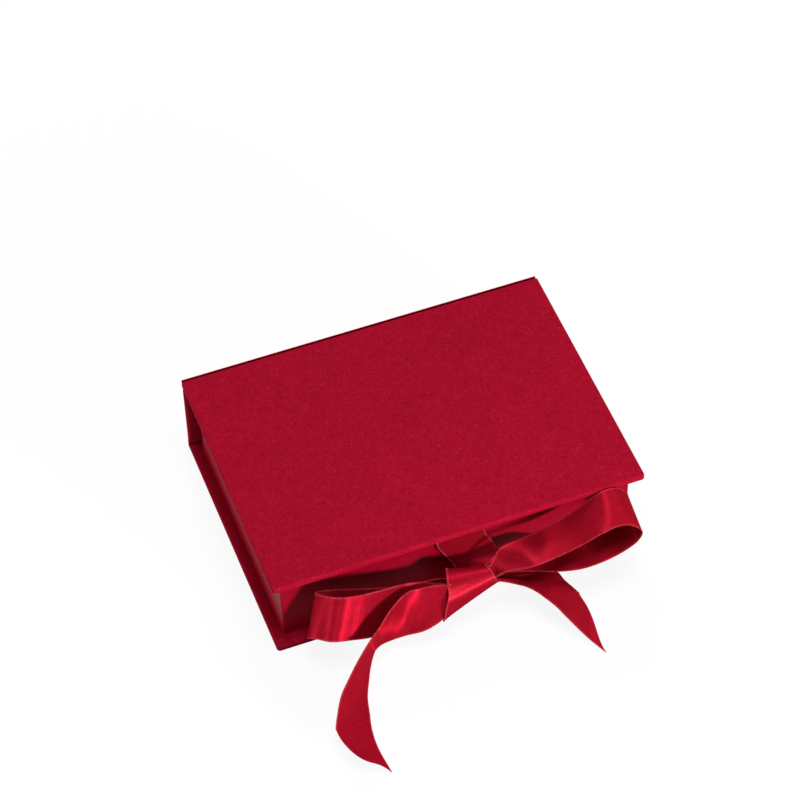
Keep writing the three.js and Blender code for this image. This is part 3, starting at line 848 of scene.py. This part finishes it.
# left loop: stands on its edge and leans back against the tray
leftLoop = {
    "steps": 170,
    "waves": 1,
    "pleats": 0.2,
    "stations": [
        ((-6, ahead(8.5), level(0.54)), (0, -2.5, -8.5), 0.25),
        ((-12.3, ahead(8.5), level(0.58)), (0, -2.5, -8.5), 0.42),
        ((-19, ahead(7), level(0.65)), (-3, -5.5, -13.5), 0.7),
        ((-26.8, ahead(6), level(0.695)), (-5.5, -7, -18), 0.92),
        ((-39.4, ahead(8.5), level(0.81)), (-8, -8.8, -17.8), 1),
        ((-49.7, ahead(10.2), level(0.89)), (-8, -8.5, -18.6), 0.96),
        ((-58.3, ahead(10), level(0.945)), (-8, -8.4, -18.7), 0.95),
        ((-63.3, ahead(5.6), level(0.895)), (-8, -7, -19), 0.95),
        ((-66.5, ahead(0), level(0.825)), (-7.5, -9, -18.5), 0.96),
        ((-60, ahead(1), level(0.825)), (-6.5, -6.5, -20), 1),
        ((-44.5, ahead(2), level(0.69)), (-4.5, -6, -20.5), 1),
        ((-27.5, ahead(3.5), level(0.58)), (-2.5, -4.5, -18), 0.8),
        ((-12.3, ahead(6), level(0.6)), (0, -2, -8), 0.38),
        ((-6, ahead(8), level(0.55)), (0, -2, -8), 0.25),
    ],
}
layRibbon("bow_left_loop", "base", ribbonGrid(leftLoop))

# left tail: its lower edge comes down to the table and runs forward
leftTail = {
    "steps": 150,
    "cutBack": (0, 0.15),
    "cutBow": 0.4,
    "ridges": [
        ([(0.0, 0.65, 0.6), (0.1, 0.62, 1.1), (0.22, 0.4, 0.9), (0.34, 0.25, 0.2), (0.45, 0.2, 0.0)], 0.3),
    ],
    "stations": [
        ((-8, ahead(14.5), level(0.37)), (3, 5, 9), 0.45),
        ((-14.8, ahead(18.5), level(0.345)), (4.4, 5.8, 13.2), 0.7),
        ((-18.3, ahead(19.4), level(0.31)), (2, 8, 14.5), 0.8),
        ((-25, ahead(19.8), level(0.26)), (2, 10, 17), 0.9),
        ((-33, ahead(17.8), level(0.21)), (4, 7, 20.5), 1),
        ((-39.2, ahead(17), level(0.18)), (1, 0.5, 22), 1),
        ((-43.6, ahead(16.4), level(0.138)), (-2, -5.5, 21), 1),
        ((-46.3, ahead(16.5), level(0.076)), (-5.5, -8.5, 19.5), 1),
        ((-50.7, ahead(22.5), level(0.045)), (-8.5, -8.5, 18.5), 1),
        ((-54, ahead(29), level(0.025)), (-11, -7.5, 17.5), 1),
        ((-57.5, ahead(37), level(0.025)), (-13.5, -6, 16.5), 1),
        ((-59.5, ahead(45), level(0.03)), (-16, -5.5, 14), 1),
        ((-61.5, ahead(53), level(0.045)), (-17, -4, 13.5), 1),
        ((-62.5, ahead(63.5), level(0.06)), (-16, -1, 12), 1),
        ((-61.5, ahead(77), level(0.07)), (-16, 2, 11), 1),
    ],
}
layRibbon("bow_left_tail", "base", ribbonGrid(leftTail))

# right tail: slopes down to the right, with its right edge near the table
rightTail = {
    "steps": 120,
    "waves": 2,
    "phase": 0.2,
    "pleats": 0.3,
    "cutBack": (0.25, 0),
    "cutBow": 0.4,
    "cutRound": 0.035,
    "stations": [
        ((7, ahead(9.7), level(0.46)), (0, -4.5, 4.5), 0.24),
        ((10.3, ahead(9.5), level(0.44)), (0, -4.5, 4.5), 0.28),
        ((28, ahead(7.4), level(0.3)), (-7.9, -8.4, 6.2), 0.68),
        ((39.8, ahead(9.5), level(0.225)), (-15.4, -12.4, 9), 0.98),
        ((42.2, ahead(14.4), level(0.175)), (-14.7, -12.5, 10.5), 0.99),
        ((44.4, ahead(18), level(0.14)), (-13.3, -13.9, 10.1), 1),
        ((46.6, ahead(22.1), level(0.11)), (-12.8, -13.3, 8.2), 0.94),
        ((49.2, ahead(27), level(0.075)), (-8.5, -17.8, 1.4), 0.9),
        ((51, ahead(34), level(0.04)), (-5.6, -18.8, 0.6), 0.89),
    ],
}
layRibbon("bow_right_tail", "base", ribbonGrid(rightTail))

# upper ribbon: glued under the lid, over its front edge and down behind the knot
half = ribbon["width"] / 2
glued = ribbon["glued"]
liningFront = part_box("lid_lining")[0].y / mm
upperSeat = (lidUnder - glue) / mm - ribbon["half"] - ribbon["bead"]
upperRibbon = {
    "steps": 110,
    "stations": [
        ((half, liningFront + glued, upperSeat), (-1, 0, 0), 1),
        ((half, liningFront + glued / 2, upperSeat), (-1, 0, 0), 1),
        ((half, liningFront, upperSeat), (-1, 0, 0), 1),
        ((half, under(0.82), upperSeat - 0.2), (-1, 0, 0), 1),
        ((half + 0.3, under(0.76), level(0.955)), (-1, 0, 0), 1),
        ((half + 0.9, under(0.72), level(0.89)), (-1, 0, -0.02), 1),
        ((half + 1.6, under(0.7), level(0.8)), (-1, 0, -0.03), 1),
        ((half + 3.7, under(0.66), level(0.685)), (-1, 0, -0.05), 0.98),
        ((half + 5.9, under(0.6), level(0.56)), (-1, 0, -0.05), 0.96),
        ((half + 7.2, under(0.45), level(0.46)), (-1, 0, -0.05), 0.94),
        ((half + 5.6, under(0.3), level(0.37)), (-1, 0, 0), 0.85),
    ],
}
layRibbon("upper_ribbon", "lid", ribbonGrid(upperRibbon))

# lower ribbon: glued under the tray, out over the base and up into the back of the knot
trayFront = wrapLow.y / mm
lowerSeat = (baseHigh.z + glue) / mm + ribbon["half"] + ribbon["bead"]
lowerRibbon = {
    "steps": 110,
    "stations": [
        ((-half, trayFront + glued, lowerSeat), (1, 0, 0), 1),
        ((-half, trayFront + glued / 2, lowerSeat), (1, 0, 0), 1),
        ((-half, trayFront + 0.3, lowerSeat), (1, 0, 0), 1),
        ((-half, under(0.8), lowerSeat), (1, 0, 0), 1),
        ((-half, under(0.55), lowerSeat + 0.4), (1, 0, 0), 1),
        ((-half, ahead(0), level(0.12)), (1, 0, 0), 1),
        ((-half, ahead(4), level(0.21)), (1, 0, 0), 1),
        ((-0.8 * half, ahead(7), level(0.33)), (1, 0, 0), 0.8),
        ((-0.6 * half, ahead(7.7), level(0.41)), (1, 0, 0), 0.6),
    ],
}
layRibbon("lower_ribbon", "base", ribbonGrid(lowerRibbon))

# knot: one turn of the ribbon round the bow, fanned out at the left and drawn tight at the right
knot = {
    "left": (-13.2, ahead(11.5), level(0.49)),
    "right": (10, ahead(10), level(0.55)),
    "up": (0, 0.58, 0.8),
    "out": (0, -0.8, 0.58),
    "reach": (10.8, 3.9),  # half height at the left and at the right
    "depth": (5.2, 2.8),
    "ease": 0.85,  # how evenly it narrows from left to right
    "lean": (3.2, -1.3),  # how far the upper side leans to the right
    "start": -150,  # degrees from the top, behind
    "turn": 385,
    "steps": 150,
    "lift": 0.5,  # mm that the overlap stands off
    "creases": [(82, 15, -0.06), (112, 24, -0.02)],  # at and width in degrees, share of the size
    "creaseFade": 0.7,  # how much of a crease is lost at the right
    "tuck": 1.0,  # mm that the left edge is drawn in at the crease
    "tuckAt": 1.5,  # radians from the top
    "tuckWidth": 22,  # degrees
    "backDraw": 3.2,  # mm that the left edge is drawn in behind
}


def turnGap(turn, at):
    return np.degrees(np.arctan2(np.sin(turn - at), np.cos(turn - at)))


def blend(ends, share):
    return ends[0] + (ends[1] - ends[0]) * share


def knotGrid(look):
    turn = np.radians(look["start"] + look["turn"] * np.linspace(0, 1, look["steps"] + 1))[:, None]
    v = np.linspace(0, 1, ribbon["columns"] + 1)[None, :]
    centre = blend((np.array(look["left"]), np.array(look["right"])), v[..., None])
    up = np.array(look["up"]) / np.linalg.norm(look["up"])
    out = np.array(look["out"]) / np.linalg.norm(look["out"])
    reach = blend(look["reach"], v ** look["ease"])
    depth = blend(look["depth"], v ** look["ease"])
    lean = blend(look["lean"], v)
    swell = np.ones_like(turn * v)
    for at, width, share in look["creases"]:
        gap = turnGap(turn, math.radians(at))
        swell = swell + share * np.exp(-(gap / width) ** 2) * (1 - look["creaseFade"] * v)
    lift = look["lift"] * (turn - turn[0]) / (2 * math.pi)
    grid = centre + up * ((reach * swell + lift) * np.cos(turn))[..., None]
    grid = grid + out * ((depth * swell + lift) * np.sin(turn))[..., None]
    near = np.exp(-(turnGap(turn, look["tuckAt"]) / look["tuckWidth"]) ** 2)
    grid[..., 0] += lean * np.cos(turn) + look["tuck"] * near * (1 - v) ** 2
    grid[..., 0] += look["backDraw"] * ((1 - np.sin(turn)) / 2) ** 2 * (1 - v)
    return grid


layRibbon("bow_knot", "base", knotGrid(knot))
print("ribbon tied")


# floor, light and background
stage = {
    "halfSize": 3.0,  # m
    "floor": "#B4B4B4",  # the floor as it lights the box
    "seen": "#FAFAFA",  # the floor as it is seen
    "shadowShare": 0.1,  # how much of the floor's own shading the camera sees
    "world": 0.045,  # light of the surroundings
}


def seenDirectly(tree):
    rays = addNode(tree, "ShaderNodeLightPath").outputs
    seen = rays["Is Camera Ray"]
    for kind in ("Is Glossy Ray", "Is Transmission Ray"):
        seen = addNode(tree, "ShaderNodeMath", {0: seen, 1: rays[kind]}, operation="MAXIMUM").outputs[0]
    return seen


def makeStage(look):
    size = look["halfSize"]
    corners = [(-size, -size, 0), (size, -size, 0), (size, size, 0), (-size, size, 0)]
    floor = addObject("floor", meshFrom("floor", corners, [[0, 1, 2, 3]]))
    material = bpy.data.materials.new("paleFloor")
    material.use_nodes = True
    tree = material.node_tree
    tree.nodes.clear()
    glow = addNode(tree, "ShaderNodeEmission", values={"Color": (1, 1, 1, 1), "Strength": 1.0})
    seen = seenDirectly(tree)
    shade = addNode(tree, "ShaderNodeMix", {0: seen}, {6: srgb(look["floor"]), 7: srgb(look["seen"])},
                    data_type="RGBA")
    paint = addNode(tree, "ShaderNodeBsdfDiffuse", {"Color": shade.outputs[2]})
    share = addNode(tree, "ShaderNodeMath", {0: seen}, {1: 1 - look["shadowShare"]}, operation="MULTIPLY")
    mixed = addNode(tree, "ShaderNodeMixShader",
                    {0: share.outputs[0], 1: paint.outputs[0], 2: glow.outputs[0]})
    result = addNode(tree, "ShaderNodeOutputMaterial")
    tree.links.new(mixed.outputs[0], result.inputs[0])
    floor.data.materials.append(material)
    world = bpy.data.worlds.new("studio")
    scene.world = world
    world.use_nodes = True
    tree = world.node_tree
    tree.nodes.clear()
    strength = addNode(tree, "ShaderNodeMapRange", {0: seenDirectly(tree)}, {3: look["world"], 4: 1.0})
    sky = addNode(tree, "ShaderNodeBackground", {1: strength.outputs[0]}, {0: (1, 1, 1, 1)})
    result = addNode(tree, "ShaderNodeOutputWorld")
    tree.links.new(sky.outputs[0], result.inputs[0])


makeStage(stage)

# area lamps aimed at the frame's origin, places and sizes in mm, power in watts
lamps = {
    "key": {"place": (1250, -2500, 520), "size": 480, "power": 94},
    "overhead": {"place": (0, -400, 2540), "size": 1000, "power": 44},
    "side": {"place": (-1500, -200, 150), "size": 500, "power": 10},
    "back": {"place": (300, 1900, 1600), "size": 700, "power": 19},
}


def hangLamp(name, look):
    data = bpy.data.lights.new(name, "AREA")
    data.energy = look["power"]
    data.size = look["size"] * mm
    lamp = addObject(name, data)
    place = Vector(look["place"]) * mm
    lamp.matrix_world = Matrix.Translation(place) @ (-place).to_track_quat("-Z", "Y").to_matrix().to_4x4()


for name, look in lamps.items():
    hangLamp(name, look)
print("stage lit")
